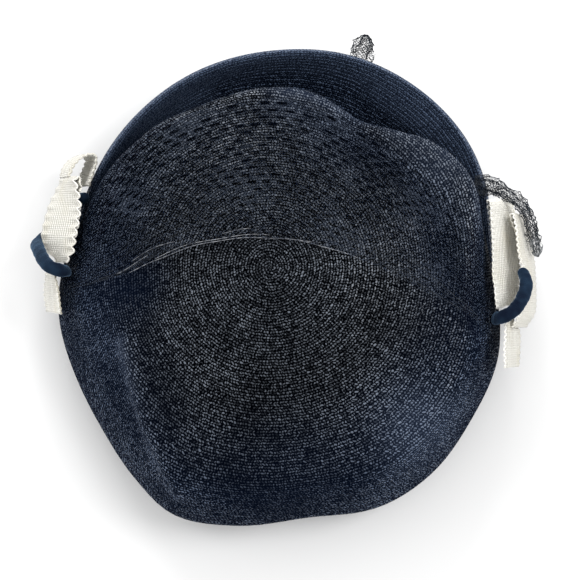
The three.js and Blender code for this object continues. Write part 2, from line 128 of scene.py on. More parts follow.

# Painted highlights along the straw's narrow ridges and painted shade along its valleys: reach,
# how much lighter or darker it is painted, points of x, y and z
PAINTED_CREASE_LIGHT = [
    (12, -0.4, [(-58, -32, 66), (-50, -62, 64), (-37, -90, 60)]),
    (9, 1.5, [(-68, -34, 62), (-61, -57, 61), (-52, -81, 58), (-42, -101, 50)]),
    (13, -0.6, [(28, 71, 70), (58, 52, 70), (75, 30, 70), (78, 14, 70), (96, -20, 64)]),
    (5, 0.7, [(-14, 86, 69), (14, 87, 69), (32, 79, 68)]),
    (6, 1.2, [(-96, 44, 58), (-84, 62, 58), (-62, 80, 60)]),
]

# Creases and ridges in the crown: width, height, points of x and y
CREASES = [
    (4.0, 2.0, [(-67, -35), (-59, -66), (-47.5, -92.5), (-42, -102)]),
    (6.5, -2.0, [(6, 80), (28, 72), (47, 61), (66, 47), (75, 31), (77, 14), (84, -5), (98, -22)]),
    (3.0, 1.3, [(-12, 84), (14, 88), (38, 78)]),
    (5.0, 1.4, [(-92, 52), (-74, 66), (-50, 78)]),
    (9.0, -1.6, [(-76, 6), (-62, -4), (-48, 0)]),
    (5.0, 1.2, [(40, -100), (66, -82), (86, -54)]),
]

# Crown sections: angle, ridge, height, foot, valley
CROWN_SECTIONS = np.array([
    (0, 0.895, 0.87, 0.99, 0.03),
    (14, 0.935, 0.89, 0.965, 0.05),
    (25, 0.97, 0.91, 0.93, 0.055),
    (38, 0.92, 0.92, 0.88, 0.05),
    (50, 0.825, 0.91, 0.83, 0.03),
    (62, 0.775, 0.9, 0.8, 0.01),
    (76, 0.81, 0.91, 0.79, 0.02),
    (92, 0.82, 0.92, 0.785, 0.01),
    (112, 0.8, 0.92, 0.78, 0.01),
    (132, 0.82, 0.91, 0.795, 0.02),
    (150, 0.84, 0.88, 0.84, 0.035),
    (168, 0.82, 0.85, 0.91, 0.03),
    (185, 0.76, 0.84, 0.945, 0.02),
    (206, 0.705, 0.87, 0.945, 0),
    (221, 0.76, 0.87, 0.97, 0),
    (235, 0.87, 0.86, 1.03, 0),
    (247, 0.965, 0.85, 1.085, 0),
    (261, 0.955, 0.84, 1.06, 0.01),
    (279, 0.93, 0.84, 1.025, 0.02),
    (296, 0.965, 0.84, 1.075, 0.01),
    (310, 0.975, 0.84, 1.08, 0.01),
    (326, 0.96, 0.84, 1.055, 0.02),
    (343, 0.92, 0.85, 1.045, 0.02),
])

# Dents in the top: angle, reach, spread, depth
DENTS = [
    (185, 0.6, 0.17, 0.06),
    (62, 0.62, 0.15, 0.035),
    (312, 0.78, 0.2, 0.03),
]

# Brim sections from its right end to its left one: angle, edge, height, steepness
BRIM_SECTIONS = np.array([
    (5, 0.985, 0.28, 0.6),
    (11, 0.985, 0.42, 0.55),
    (17, 0.995, 0.58, 0.5),
    (26, 1.03, 0.72, 0.35),
    (38, 1.06, 0.8, 0.3),
    (54, 1.07, 0.86, 0.4),
    (72, 1.058, 0.92, 0.65),
    (90, 1.018, 0.97, 0.8),
    (108, 0.98, 1, 0.85),
    (126, 0.937, 1, 0.85),
    (142, 0.902, 0.97, 0.85),
    (154, 0.885, 0.86, 0.85),
    (163, 0.9, 0.55, 0.85),
    (171, 0.93, 0.28, 0.85),
])

# The veiling's two long edges, from the left bow to the right one: angle, reach along the straw
VEIL_BACK_EDGE = [
    (183, 1.04), (183, 0.74), (175, 0.48), (156, 0.26), (100, 0.124),
    (32, 0.19), (2, 0.425), (-8, 0.66), (-13, 0.88), (-16, 1.02),
]
VEIL_FRONT_EDGE = [
    (178, 1.06), (160, 0.88), (128, 0.79), (84, 0.755), (48, 0.74), (18, 0.86), (-11, 1.03),
]

# Ribbons: name, height, width, lead, path rows of x, y, tilt, width
RIBBONS = [
    ("bow_left_front_loop", 0.671, 1, -0.22, [
        (-0.917, 0.065, 0.35, 0.6),
        (-0.927, 0.115, 0.55, 0.9),
        (-0.936, 0.172, 0.63, 0.98),
        (-0.927, 0.236, 0.63, 1),
        (-0.913, 0.318, 0.58, 1),
        (-0.904, 0.391, 0.42, 0.98),
        (-0.899, 0.433, 0.34, 0.95),
        (-0.885, 0.449, 0.33, 0.92),
        (-0.873, 0.431, 0.35, 0.9),
        (-0.873, 0.377, 0.4, 0.85),
    ]),
    ("bow_left_inner_loop", 0.599, 0.84, -0.22, [
        (-0.92, 0.116, 0.42, 0.55),
        (-0.918, 0.159, 0.5, 0.85),
        (-0.911, 0.236, 0.53, 1),
        (-0.904, 0.3, 0.5, 1),
        (-0.895, 0.324, 0.46, 1),
        (-0.886, 0.302, 0.4, 0.95),
        (-0.892, 0.241, 0.38, 0.88),
    ]),
    ("bow_left_upper_loop", 0.487, 0.8, -0.22, [
        (-0.931, 0.478, 0.3, 1),
        (-0.918, 0.524, 0.32, 1),
        (-0.887, 0.562, 0.33, 1),
        (-0.845, 0.582, 0.32, 1),
        (-0.815, 0.575, 0.32, 1),
        (-0.811, 0.545, 0.32, 1),
        (-0.827, 0.495, 0.34, 1),
        (-0.847, 0.436, 0.36, 1),
    ]),
    ("bow_left_tail", 0.592, 0.92, -0.2, [
        (-0.971, 0.044, 0.3, 0.72),
        (-0.964, -0.032, 0.36, 0.9),
        (-0.96, -0.082, 0.36, 1),
        (-0.949, -0.15, 0.35, 1),
    ]),
    ("bow_right_front_loop", 0.592, 1, -0.25, [
        (1.02, -0.122, -0.38, 0.8),
        (1.035, -0.073, -0.45, 1),
        (1.038, -0.009, -0.49, 1),
        (1.035, 0.091, -0.49, 1),
        (1.033, 0.2, -0.48, 1),
        (1.026, 0.291, -0.46, 1),
        (1.02, 0.344, -0.43, 1),
        (1.009, 0.359, -0.42, 0.93),
        (1.001, 0.338, -0.41, 0.75),
        (1.005, 0.269, -0.42, 0.62),
        (1.011, 0.164, -0.43, 0.58),
        (1.014, 0.036, -0.43, 0.55),
    ]),
    ("bow_right_outer_loop", 0.5, 0.78, -0.17, [
        (1.12, 0.127, -0.42, 0.4),
        (1.113, 0.2, -0.42, 0.45),
        (1.096, 0.262, -0.4, 0.65),
        (1.094, 0.302, -0.36, 0.85),
        (1.108, 0.305, -0.36, 0.95),
        (1.126, 0.241, -0.38, 0.95),
        (1.136, 0.136, -0.38, 1),
        (1.145, 0.082, -0.38, 0.93),
        (1.15, 0.018, -0.38, 0.82),
        (1.15, -0.055, -0.38, 0.84),
        (1.136, -0.145, -0.4, 0.95),
        (1.098, -0.205, -0.4, 0.9),
    ]),
    ("bow_right_tail", 0.592, 0.9, -0.15, [
        (1.047, -0.178, -0.3, 0.66),
        (1.059, -0.236, -0.35, 0.95),
        (1.056, -0.315, -0.35, 1),
        (1.054, -0.391, -0.32, 1),
    ]),
]

# Velvet loops: name, path rows of x, y, z, width share
VELVETS = [
    ("velvet_loop_left", [
        (-0.887, 0.024, 0.697, 1),
        (-0.907, 0.014, 0.789, 1),
        (-0.945, 0.023, 0.809, 1),
        (-0.983, 0.054, 0.763, 1),
        (-1.018, 0.102, 0.671, 1),
        (-1.042, 0.144, 0.566, 1),
        (-1.059, 0.176, 0.454, 1),
        (-1.053, 0.214, 0.336, 0.9),
        (-1.005, 0.282, 0.243, 0.9),
        (-0.95, 0.341, 0.243, 0.9),
        (-0.898, 0.375, 0.368, 0.9),
        (-0.855, 0.373, 0.526, 0.95),
        (-0.82, 0.356, 0.638, 1),
    ]),
    ("velvet_loop_right", [
        (0.972, -0.19, 0.724, 1),
        (1.002, -0.193, 0.809, 1),
        (1.045, -0.173, 0.816, 1),
        (1.075, -0.142, 0.803, 1),
        (1.098, -0.105, 0.783, 1),
        (1.114, -0.064, 0.763, 1),
        (1.118, -0.027, 0.743, 0.95),
        (1.112, 0.005, 0.718, 0.85),
        (1.102, 0.031, 0.695, 0.7),
    ]),
]

# Free ends of the veiling: x, y, z, width share, thickness share
NET_TAIL = [
    (0.918, 0.442, 0.428, 0.917, 0.45),
    (0.964, 0.449, 0.447, 1, 0.45),
    (1.015, 0.42, 0.513, 0.72, 0.6),
    (1.059, 0.385, 0.559, 0.62, 0.75),
    (1.105, 0.349, 0.572, 0.56, 0.875),
    (1.138, 0.298, 0.566, 0.54, 1),
    (1.158, 0.244, 0.539, 0.54, 1),
    (1.177, 0.187, 0.487, 0.54, 1),
    (1.2, 0.128, 0.408, 0.417, 0.75),
]
NET_TUFT = [
    (0.353, 0.946, 0.5, 0.538, 0.625),
    (0.371, 0.978, 0.548, 0.769, 0.875),
    (0.394, 1.034, 0.595, 1, 1),
    (0.408, 1.082, 0.643, 0.769, 0.875),
    (0.419, 1.114, 0.69, 0.308, 0.375),
]


# Curves and sections

def between(table, column, angles, closed):
    """A column of a table of sections at any angle, smoothly."""
    x = table[:, 0].astype(float)
    y = table[:, column].astype(float)
    if closed:
        x = np.concatenate([x[-2:] - 360, x, x[:2] + 360])
        y = np.concatenate([y[-2:], y, y[:2]])
        angles = (np.asarray(angles, float) - table[0, 0]) % 360 + table[0, 0]
    slopes = np.empty_like(y)
    slopes[1:-1] = (y[2:] - y[:-2]) / (x[2:] - x[:-2])
    slopes[0] = (y[1] - y[0]) / (x[1] - x[0])
    slopes[-1] = (y[-1] - y[-2]) / (x[-1] - x[-2])
    i = np.clip(np.searchsorted(x, angles, side="right") - 1, 0, len(x) - 2)
    span = x[i + 1] - x[i]
    t = np.clip((angles - x[i]) / span, 0, 1)
    low = (2 * t**3 - 3 * t**2 + 1) * y[i] + (t**3 - 2 * t**2 + t) * slopes[i] * span
    return low + (3 * t**2 - 2 * t**3) * y[i + 1] + (t**3 - t**2) * slopes[i + 1] * span


def smooth_line(points, t):
    """A smooth line through the points of a section, evenly weighted."""
    points = np.asarray(points, float)
    last = len(points) - 1
    place = np.clip(t, 0, 1) * last
    i = np.minimum(np.floor(place).astype(int), last - 1)
    w = (place - i)[:, None]
    p0 = points[np.maximum(i - 1, 0)]
    p1 = points[i]
    p2 = points[i + 1]
    p3 = points[np.minimum(i + 2, last)]
    v0 = (p2 - p0) / 2
    v1 = (p3 - p1) / 2
    cubic = (2 * p1 - 2 * p2 + v0 + v1) * w**3
    square = (-3 * p1 + 3 * p2 - 2 * v0 - v1) * w**2
    return cubic + square + v0 * w + p1


class Path:
    """A line through chosen points that doesn't overshoot between near ones."""

    def __init__(self, points):
        self.points = np.asarray(points, float)
        self.times = np.linspace(0, 1, 401)
        line = self.at(self.times)
        steps = np.linalg.norm(np.diff(line, axis=0), axis=1)
        self.lengths = np.concatenate([[0], np.cumsum(steps)])
        self.length = self.lengths[-1]

    def at(self, t):
        points = self.points
        last = len(points) - 1
        place = np.clip(t, 0, 1) * last
        i = np.minimum(np.floor(place).astype(int), last - 1)
        w = (place - i)[:, None]
        before = np.vstack([2 * points[0] - points[1], points])
        after = np.vstack([points, 2 * points[-1] - points[-2]])
        p0 = before[i]
        p1 = points[i]
        p2 = points[i + 1]
        p3 = after[i + 2]
        gap0 = (((p0 - p1) ** 2).sum(1) ** 0.25)[:, None]
        gap1 = (((p1 - p2) ** 2).sum(1) ** 0.25)[:, None]
        gap2 = (((p2 - p3) ** 2).sum(1) ** 0.25)[:, None]
        gap1 = np.where(gap1 < 1e-4, 1.0, gap1)
        gap0 = np.where(gap0 < 1e-4, gap1, gap0)
        gap2 = np.where(gap2 < 1e-4, gap1, gap2)
        t1 = ((p1 - p0) / gap0 - (p2 - p0) / (gap0 + gap1) + (p2 - p1) / gap1) * gap1
        t2 = ((p2 - p1) / gap1 - (p3 - p1) / (gap1 + gap2) + (p3 - p2) / gap2) * gap1
        cubic = (2 * p1 - 2 * p2 + t1 + t2) * w**3
        square = (-3 * p1 + 3 * p2 - 2 * t1 - t2) * w**2
        return cubic + square + t1 * w + p1

    def time(self, share):
        return np.interp(share * self.length, self.lengths, self.times)

    def heading(self, t):
        ahead = self.at(np.clip(t + 1e-3, 0, 1))
        behind = self.at(np.clip(t - 1e-3, 0, 1))
        return unit(ahead - behind)


def unit(vectors):
    return vectors / np.maximum(np.linalg.norm(vectors, axis=-1, keepdims=True), 1e-12)


def section_line(points, shares):
    """Places on a section at shares of its length, and that length."""
    times = np.linspace(0, 1, 201)
    line = smooth_line(points, times)
    lengths = np.concatenate([[0], np.cumsum(np.linalg.norm(np.diff(line, axis=0), axis=1))])
    return smooth_line(points, np.interp(shares * lengths[-1], lengths, times)), lengths[-1]


def dent_depth(x, y):
    depth = np.zeros_like(x)
    for angle, reach, spread, deep in DENTS:
        dx = x - reach * CROWN_RADIUS * math.cos(math.radians(angle))
        dy = y - reach * CROWN_RADIUS * math.sin(math.radians(angle))
        depth += deep * CROWN_HEIGHT * np.exp(-(dx**2 + dy**2) / (spread * CROWN_RADIUS) ** 2)
    return depth


def crown_section(angle):
    here = np.array([angle])
    ridge, height, foot, valley = (between(CROWN_SECTIONS, k, here, True)[0] for k in (1, 2, 3, 4))
    ridge = ridge * CROWN_RADIUS
    height = height * CROWN_HEIGHT
    foot = foot * CROWN_RADIUS
    belly = foot * 1.02
    dip = CROWN_HEIGHT + 0.6 * (height - CROWN_HEIGHT) - valley * CROWN_HEIGHT
    return [
        (0, CROWN_HEIGHT),
        (0.42 * ridge, CROWN_HEIGHT * 0.993),
        (0.8 * ridge, dip),
        (0.945 * ridge, height + 0.01 * CROWN_HEIGHT),
        (ridge + 0.12 * (belly - ridge), height - 0.07 * CROWN_HEIGHT),
        (ridge + 0.62 * (belly - ridge), 0.6 * CROWN_HEIGHT),
        (belly, 0.32 * CROWN_HEIGHT),
        (foot, 0),
    ]


# The crown's outside as a fine table of radius and height, by angle and by share of the way down
CROWN_TURNS = 720
CROWN_STEPS = 400
crown_radii = np.empty((CROWN_TURNS + 1, CROWN_STEPS + 1))
crown_heights = np.empty_like(crown_radii)
crown_lengths = np.empty(CROWN_TURNS + 1)
for turn in range(CROWN_TURNS + 1):
    line, crown_lengths[turn] = section_line(
        crown_section(360 * turn / CROWN_TURNS), np.linspace(0, 1, CROWN_STEPS + 1)
    )
    crown_radii[turn] = line[:, 0]
    crown_heights[turn] = line[:, 1]


def crown_at(angle, share):
    """Places on the crown's outside, in millimetres from the tip's axis."""
    a = (angle % 360) / 360 * CROWN_TURNS
    b = np.clip(share, 0, 1) * CROWN_STEPS
    i = np.minimum(a.astype(int), CROWN_TURNS - 1)
    j = np.minimum(b.astype(int), CROWN_STEPS - 1)
    s = a - i
    t = b - j

    def blend(table):
        near = table[i, j] * (1 - s) + table[i + 1, j] * s
        far = table[i, j + 1] * (1 - s) + table[i + 1, j + 1] * s
        return near * (1 - t) + far * t

    radius = blend(crown_radii)
    x = radius * np.cos(np.radians(angle))
    y = radius * np.sin(np.radians(angle))
    return np.stack([x, y, blend(crown_heights) - dent_depth(x, y)], axis=-1)


def crown_outwards(angle, share):
    """The crown's outward direction at those places."""
    round_it = crown_at(angle + 0.6, share) - crown_at(angle - 0.6, share)
    down = crown_at(angle, np.clip(share + 0.004, 0, 1)) - crown_at(angle, np.clip(share - 0.004, 0, 1))
    out = np.cross(down, round_it)
    tip = np.linalg.norm(round_it, axis=-1) < 1e-3
    out[tip] = (0, 0, 1)
    return unit(out)


def crown_length_at(angle):
    a = (angle % 360) / 360 * CROWN_TURNS
    return np.interp(a, np.arange(CROWN_TURNS + 1), crown_lengths)


def wall_radius(angle, height):
    """The crown's outside radius at a height of its wall."""
    shares = np.linspace(0.5, 1, 401)
    wall = crown_at(np.full(401, angle), shares)
    radii = np.hypot(wall[:, 0], wall[:, 1])
    return np.interp(-height, -wall[:, 2], radii)


def brim_section(angle):
    here = np.array([angle])
    edge, height, steepness = (between(BRIM_SECTIONS, k, here, False)[0] for k in (1, 2, 3))
    edge = edge * BRIM_RADIUS
    height = height * BRIM_HEIGHT
    clear = SEAM_GAP + STRAW_WALL
    seat = wall_radius(angle, BRIM_SEAT) + clear
    gutter = max(seat + 0.3 * (edge - seat), wall_radius(angle, BRIM_SEAT / 2) + clear)
    upright = edge - LIP_WIDTH - (1 - steepness) * 0.5 * (edge - seat)
    halfway = max(upright, wall_radius(angle, height / 2) + clear)
    crest = max(edge - 0.6 * LIP_WIDTH, wall_radius(angle, height) + clear)
    return [
        (seat, BRIM_SEAT),
        (min(gutter, halfway), 0.6 * BRIM_SEAT),
        (halfway, 0.5 * height),
        (crest - 0.3 * LIP_WIDTH, 0.92 * height),
        (crest + 0.15 * LIP_WIDTH, height),
        (max(edge, crest + 0.6 * LIP_WIDTH), height - LIP_DROP),
    ]


# Making pieces

def grid_piece(name, columns, rows, place, cloth=None):
    """A new grid, each point moved to where place(u, v) puts it, and its UV map from cloth(u, v)."""
    bpy.ops.object.select_all(action="DESELECT")
    bpy.ops.mesh.primitive_grid_add(x_subdivisions=columns, y_subdivisions=rows, size=1)
    piece = bpy.context.object
    piece.name = name
    mesh = piece.data
    mesh.name = name
    flat = np.empty(len(mesh.vertices) * 3)
    mesh.vertices.foreach_get("co", flat)
    flat = flat.reshape(-1, 3)
    u = np.clip(flat[:, 0] + 0.5, 0, 1)
    v = np.clip(flat[:, 1] + 0.5, 0, 1)
    points = place(u, v)
    mesh.vertices.foreach_set("co", ((points + TIP) * 0.001).ravel())
    if cloth is not None:
        corners = np.empty(len(mesh.loops), dtype=np.int32)
        mesh.loops.foreach_get("vertex_index", corners)
        mapped = np.stack(cloth(u, v), axis=-1)[corners]
        mesh.uv_layers.active.data.foreach_set("uv", mapped.ravel())
    mesh.update()
    return piece


def pick(piece):
    bpy.ops.object.select_all(action="DESELECT")
    piece.select_set(True)
    bpy.context.view_layer.objects.active = piece


def close_seams(piece, reach=2e-6):
    """Joins points that lie on each other, where a sheet meets itself."""
    pick(piece)
    bpy.ops.object.mode_set(mode="EDIT")
    bpy.ops.mesh.select_all(action="SELECT")
    bpy.ops.mesh.remove_doubles(threshold=reach)
    bpy.ops.mesh.dissolve_degenerate(threshold=reach / 2)
    bpy.ops.object.mode_set(mode="OBJECT")


def turn_over(piece):
    pick(piece)
    bpy.ops.object.mode_set(mode="EDIT")
    bpy.ops.mesh.select_all(action="SELECT")
    bpy.ops.mesh.flip_normals()
    bpy.ops.object.mode_set(mode="OBJECT")


def face_out(piece):
    """Turns a closed form's faces outwards."""
    pick(piece)
    bpy.ops.object.mode_set(mode="EDIT")
    bpy.ops.mesh.select_all(action="SELECT")
    bpy.ops.mesh.normals_make_consistent(inside=False)
    bpy.ops.object.mode_set(mode="OBJECT")


def thicken(piece, thickness, offset):
    pick(piece)
    wall = piece.modifiers.new("wall", "SOLIDIFY")
    wall.thickness = thickness * 0.001
    wall.offset = offset
    bpy.ops.object.modifier_apply(modifier="wall")


def smooth(piece):
    pick(piece)
    bpy.ops.object.shade_smooth()


def join(pieces, name):
    bpy.ops.object.select_all(action="DESELECT")
    for piece in pieces:
        piece.select_set(True)
    bpy.context.view_layer.objects.active = pieces[0]
    bpy.ops.object.join()
    joined = bpy.context.object
    joined.name = name
    joined.data.name = name
    return joined


def dress(piece, finish, slot, *nodes):
    piece.data.materials.clear()
    piece.data.materials.append(finish)
    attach(piece, "root")
    if nodes:
        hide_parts(*nodes)
    return piece


# Material maths

class Shade:
    """A number in a material, so that its maths reads as plain sums."""

    def __init__(self, finish, socket):
        self.finish = finish
        self.socket = socket

    def __add__(self, other):
        return self.finish.sum("ADD", self, other)

    def __radd__(self, other):
        return self.finish.sum("ADD", other, self)

    def __sub__(self, other):
        return self.finish.sum("SUBTRACT", self, other)

    def __rsub__(self, other):
        return self.finish.sum("SUBTRACT", other, self)

    def __mul__(self, other):
        return self.finish.sum("MULTIPLY", self, other)

    def __rmul__(self, other):
        return self.finish.sum("MULTIPLY", other, self)

    def __truediv__(self, other):
        return self.finish.sum("DIVIDE", self, other)

    def __rtruediv__(self, other):
        return self.finish.sum("DIVIDE", other, self)

    def __pow__(self, other):
        return self.finish.sum("POWER", self, other)

    def floor(self):
        return self.finish.sum("FLOOR", self)

    def sine(self):
        return self.finish.sum("SINE", self)

    def size(self):
        return self.finish.sum("ABSOLUTE", self)

    def least(self, other):
        return self.finish.sum("MINIMUM", self, other)

    def most(self, other):
        return self.finish.sum("MAXIMUM", self, other)

    def ramp(self, low, high):
        """0 below low, 1 above high and smooth between."""
        settings = {"interpolation_type": "SMOOTHSTEP"}
        inputs = {"Value": self, "From Min": low, "From Max": high}
        made = self.finish.node("MapRange", settings, inputs)
        return Shade(self.finish, made.outputs["Result"])


class Finish:
    """A material built up node by node."""

    def __init__(self, name):
        self.material = bpy.data.materials.new(name)
        self.material.use_nodes = True
        self.tree = self.material.node_tree
        self.tree.nodes.clear()

    def node(self, kind, settings=None, inputs=None):
        made = self.tree.nodes.new("ShaderNode" + kind)
        for key, value in (settings or {}).items():
            setattr(made, key, value)
        for key, value in (inputs or {}).items():
            value = value.socket if isinstance(value, Shade) else value
            if isinstance(value, bpy.types.NodeSocket):
                self.tree.links.new(value, made.inputs[key])
            else:
                made.inputs[key].default_value = value
        return made

    def sum(self, operation, *numbers):
        made = self.node("Math", {"operation": operation}, dict(enumerate(numbers)))
        return Shade(self, made.outputs[0])

    def cloth(self):
        """The piece's own UV map, as two numbers."""
        parts = self.node("SeparateXYZ", None, {0: self.node("UVMap").outputs["UV"]})
        return Shade(self, parts.outputs["X"]), Shade(self, parts.outputs["Y"])

    def place(self):
        return self.node("TexCoord").outputs["Object"]

    def height(self):
        parts = self.node("SeparateXYZ", None, {0: self.place()})
        return Shade(self, parts.outputs["Z"])

    def vector(self, x, y=0.0, z=0.0):
        return self.node("CombineXYZ", None, {0: x, 1: y, 2: z}).outputs[0]

    def chance(self, *numbers):
        inputs = {"Vector": self.vector(*numbers)}
        made = self.node("TexWhiteNoise", {"noise_dimensions": "3D"}, inputs)
        return Shade(self, made.outputs["Value"])

    def arrows(self, operation, inputs):
        return self.node("VectorMath", {"operation": operation}, inputs).outputs

    def near(self, x, y, z, reach):
        """1 at a place of the hat, in millimetres from the tip's axis, and 0 beyond the reach."""
        spot = tuple((np.array([x, y, z]) + TIP) * 0.001)
        away = self.arrows("DISTANCE", {0: self.place(), 1: spot})["Value"]
        return 1.0 - Shade(self, away).ramp(0.0, reach * 0.001)

    def near_line(self, start, end, reach):
        """1 on a straight line from start to end, in the same millimetres, and 0 beyond the reach."""
        start = (np.array(start) + TIP) * 0.001
        step = (np.array(end) + TIP) * 0.001 - start
        ahead = tuple(step / (step @ step))
        off = self.arrows("SUBTRACT", {0: self.place(), 1: tuple(start)})["Vector"]
        part = self.arrows("DOT_PRODUCT", {0: off, 1: ahead})["Value"]
        part = Shade(self, part).most(0.0).least(1.0)
        foot = self.arrows("SCALE", {0: tuple(step), "Scale": part})["Vector"]
        away = self.arrows("DISTANCE", {0: off, 1: foot})["Value"]
        return 1.0 - Shade(self, away).ramp(0.0, reach * 0.001)

    def noise(self, scale, detail=2.0, vector=None):
        inputs = {"Vector": vector or self.place(), "Scale": scale, "Detail": detail}
        return Shade(self, self.node("TexNoise", None, inputs).outputs["Fac"])

    def mix(self, share, first, second):
        made = self.node("Mix", {"data_type": "RGBA"}, {0: share, 6: first, 7: second})
        return made.outputs[2]

    def bump(self, height, distance, strength=1.0):
        inputs = {"Height": height, "Distance": distance, "Strength": strength}
        return self.node("Bump", None, inputs).outputs["Normal"]

    def end(self, **inputs):
        named = {key.replace("_", " "): value for key, value in inputs.items()}
        shader = self.node("BsdfPrincipled", None, named)
        out = self.node("OutputMaterial", None, {"Surface": shader.outputs[0]})
        out.is_active_output = True
        return self.material


def colour(red, green, blue):
    return (red, green, blue, 1.0)


def straw_finish():
    """Pebbly straw braid, sewn round and round: two lines of beads to a row with painted glints, and
    black gaps of painted shade between.
    """
    f = Finish("sewn straw")
    turn, down = f.cloth()
    sway = f.noise(110.0, 2.0) - 0.5
    fuss = f.noise(620.0, 1.0) - 0.5
    lines = down * (2.0 * ROW_SCALE) + sway * 0.9 + fuss * 0.9
    line = lines.floor()
    across = lines - line
    upper = line - (line / 2.0).floor() * 2.0
    count = (line.most(1.0) * 5.8).least(460.0).floor()
    slant = (upper - 0.5) * (across - 0.5) * 0.9
    along = turn * count + f.chance(line, 3.0) * 7.0 + slant + fuss * 1.8
    bead = along.floor()
    part = along - bead
    luck = f.chance(bead, line, 1.0)
    hump = (part * math.pi).sine().most(0.0) * (across * math.pi).sine().most(0.0)
    patch = f.noise(34.0, 3.0).ramp(0.25, 0.8)
    # Painted glints: each bead is painted lighter than the black gaps, which are painted shade between
    # the beads
    painted_bead_glint = hump.ramp(0.32, 0.92) * (0.1 + 1.05 * luck) * (0.55 + 0.75 * patch)
    painted_bead_glint = painted_bead_glint * (0.8 + 0.25 * upper)
    # Painted sheen: the flanks below the top, picked out by height, are painted lighter and bluer
    side = 1.0 - f.height().ramp(0.058, 0.0745)
    # Painted highlight: the rows towards the brim's rolled edge are painted much lighter
    painted_rim_highlight = down.ramp((BRIM_ROWS - 11) / ROW_SCALE, (BRIM_ROWS - 1) / ROW_SCALE)
    edge = down.ramp((BRIM_ROWS - 3) / ROW_SCALE, (BRIM_ROWS - 0.5) / ROW_SCALE)
    # Painted light and painted shade, in soft patches and along the crease lines
    painted_light_patches = 1.0
    for x, y, z, reach, more in PAINTED_LIGHT_SPOTS:
        painted_light_patches = painted_light_patches + f.near(x, y, z, reach) * more
    for reach, more, line_points in PAINTED_CREASE_LIGHT:
        nearest = 0.0
        for start, end in zip(line_points[:-1], line_points[1:]):
            nearest = f.near_line(start, end, reach).most(nearest)
        painted_light_patches = painted_light_patches + nearest * more
    # All the painted light together: the lighter flank sheen, the much lighter brim edge, and the
    # painted patches and lines
    painted_light_gain = (1.0 + side * 0.35 + painted_rim_highlight * 4.0 + edge * 5.0) * painted_light_patches.most(0.18)
    painted_bead_glint = painted_bead_glint * painted_light_gain
    # Painted sheen: the black gaps and the beads turn bluer on the flanks, and the gaps bluish where
    # the painted light is strong
    gap = f.mix(side, colour(0.0003, 0.0004, 0.0008), colour(0.0012, 0.0026, 0.0075))
    haze = f.mix(painted_light_gain.ramp(1.0, 3.0), gap, colour(0.014, 0.02, 0.036))
    bead_colour = f.mix(side, colour(0.108, 0.124, 0.15), colour(0.078, 0.108, 0.17))
    return f.end(
        Base_Color=f.mix(painted_bead_glint.least(1.6), haze, bead_colour),
        Roughness=0.6,
        Specular_IOR_Level=0.0,
        Coat_Weight=(painted_bead_glint * 0.5).least(0.8),
        Coat_Roughness=0.3,
        Normal=f.bump(hump * (0.5 + 0.5 * luck), 0.0006, 0.7),
    )


def veiling_finish():
    """Fine veiling: a see-through net of crossed threads, with rows of small woven dashes."""
    f = Finish("veiling")
    along, across = f.cloth()
    x = along * CLOTH_SCALE
    y = across * CLOTH_SCALE
    stir = f.noise(60.0, 2.0) - 0.5
    one = ((x + y) * 0.55 + stir).sine().size()
    other = ((x - y) * 0.55 - stir).sine().size()
    threads = 1.0 - one.least(other).ramp(0.08, 0.24)
    level = y / DASH_ROWS + stir * 0.25
    line = level.floor()
    step = x / DASH_PITCH + line * 0.5 + stir * 0.35
    dash = step.floor()
    kept = f.chance(dash, line, 7.0).ramp(0.15, 0.3)
    long = 1.0 - ((step - dash - 0.5).size() * 2.0).ramp(0.54, 0.74)
    thin = 1.0 - ((level - line - 0.5).size() * 2.0).ramp(0.32, 0.52)
    dashes = long * thin * kept
    worn = f.noise(22.0, 2.0).ramp(0.3, 0.6) * 0.35 + 0.65
    haze = f.noise(30.0, 2.0).ramp(0.42, 0.7) * 0.16 + 0.05
    upper = 0.42 + y.ramp(14.0, 46.0) * 0.48
    cover = (haze + threads * 0.18).most(dashes * worn * upper)
    tint = f.mix(dashes, colour(0.034, 0.044, 0.066), colour(0.0003, 0.0007, 0.002))
    return f.end(Base_Color=tint, Roughness=0.8, Specular_IOR_Level=0.0, Alpha=cover)


def thread_finish(name, dark, pale):
    """A thread, dark where it is clean and pale where it is worn."""
    f = Finish(name)
    worn = f.noise(420.0, 2.0).ramp(0.35, 0.7)
    return f.end(
        Base_Color=f.mix(worn, dark, pale),
        Roughness=0.6,
        Specular_IOR_Level=0.25,
        Normal=f.bump(f.noise(2600.0, 1.0), 0.0001, 0.5),
    )


def tail_finish():
    """Dark net that frays out pale at its free end."""
    f = Finish("frayed net")
    frayed = f.near(132.0, 13.0, 31.0, 22.0).ramp(0.2, 0.8)
    worn = f.noise(420.0, 2.0).ramp(0.35, 0.7)
    dark = f.mix(worn, colour(0.006, 0.009, 0.015), colour(0.05, 0.06, 0.075))
    pale = f.mix(worn, colour(0.08, 0.09, 0.1), colour(0.4, 0.42, 0.44))
    return f.end(Base_Color=f.mix(frayed, dark, pale), Roughness=0.6, Specular_IOR_Level=0.25)


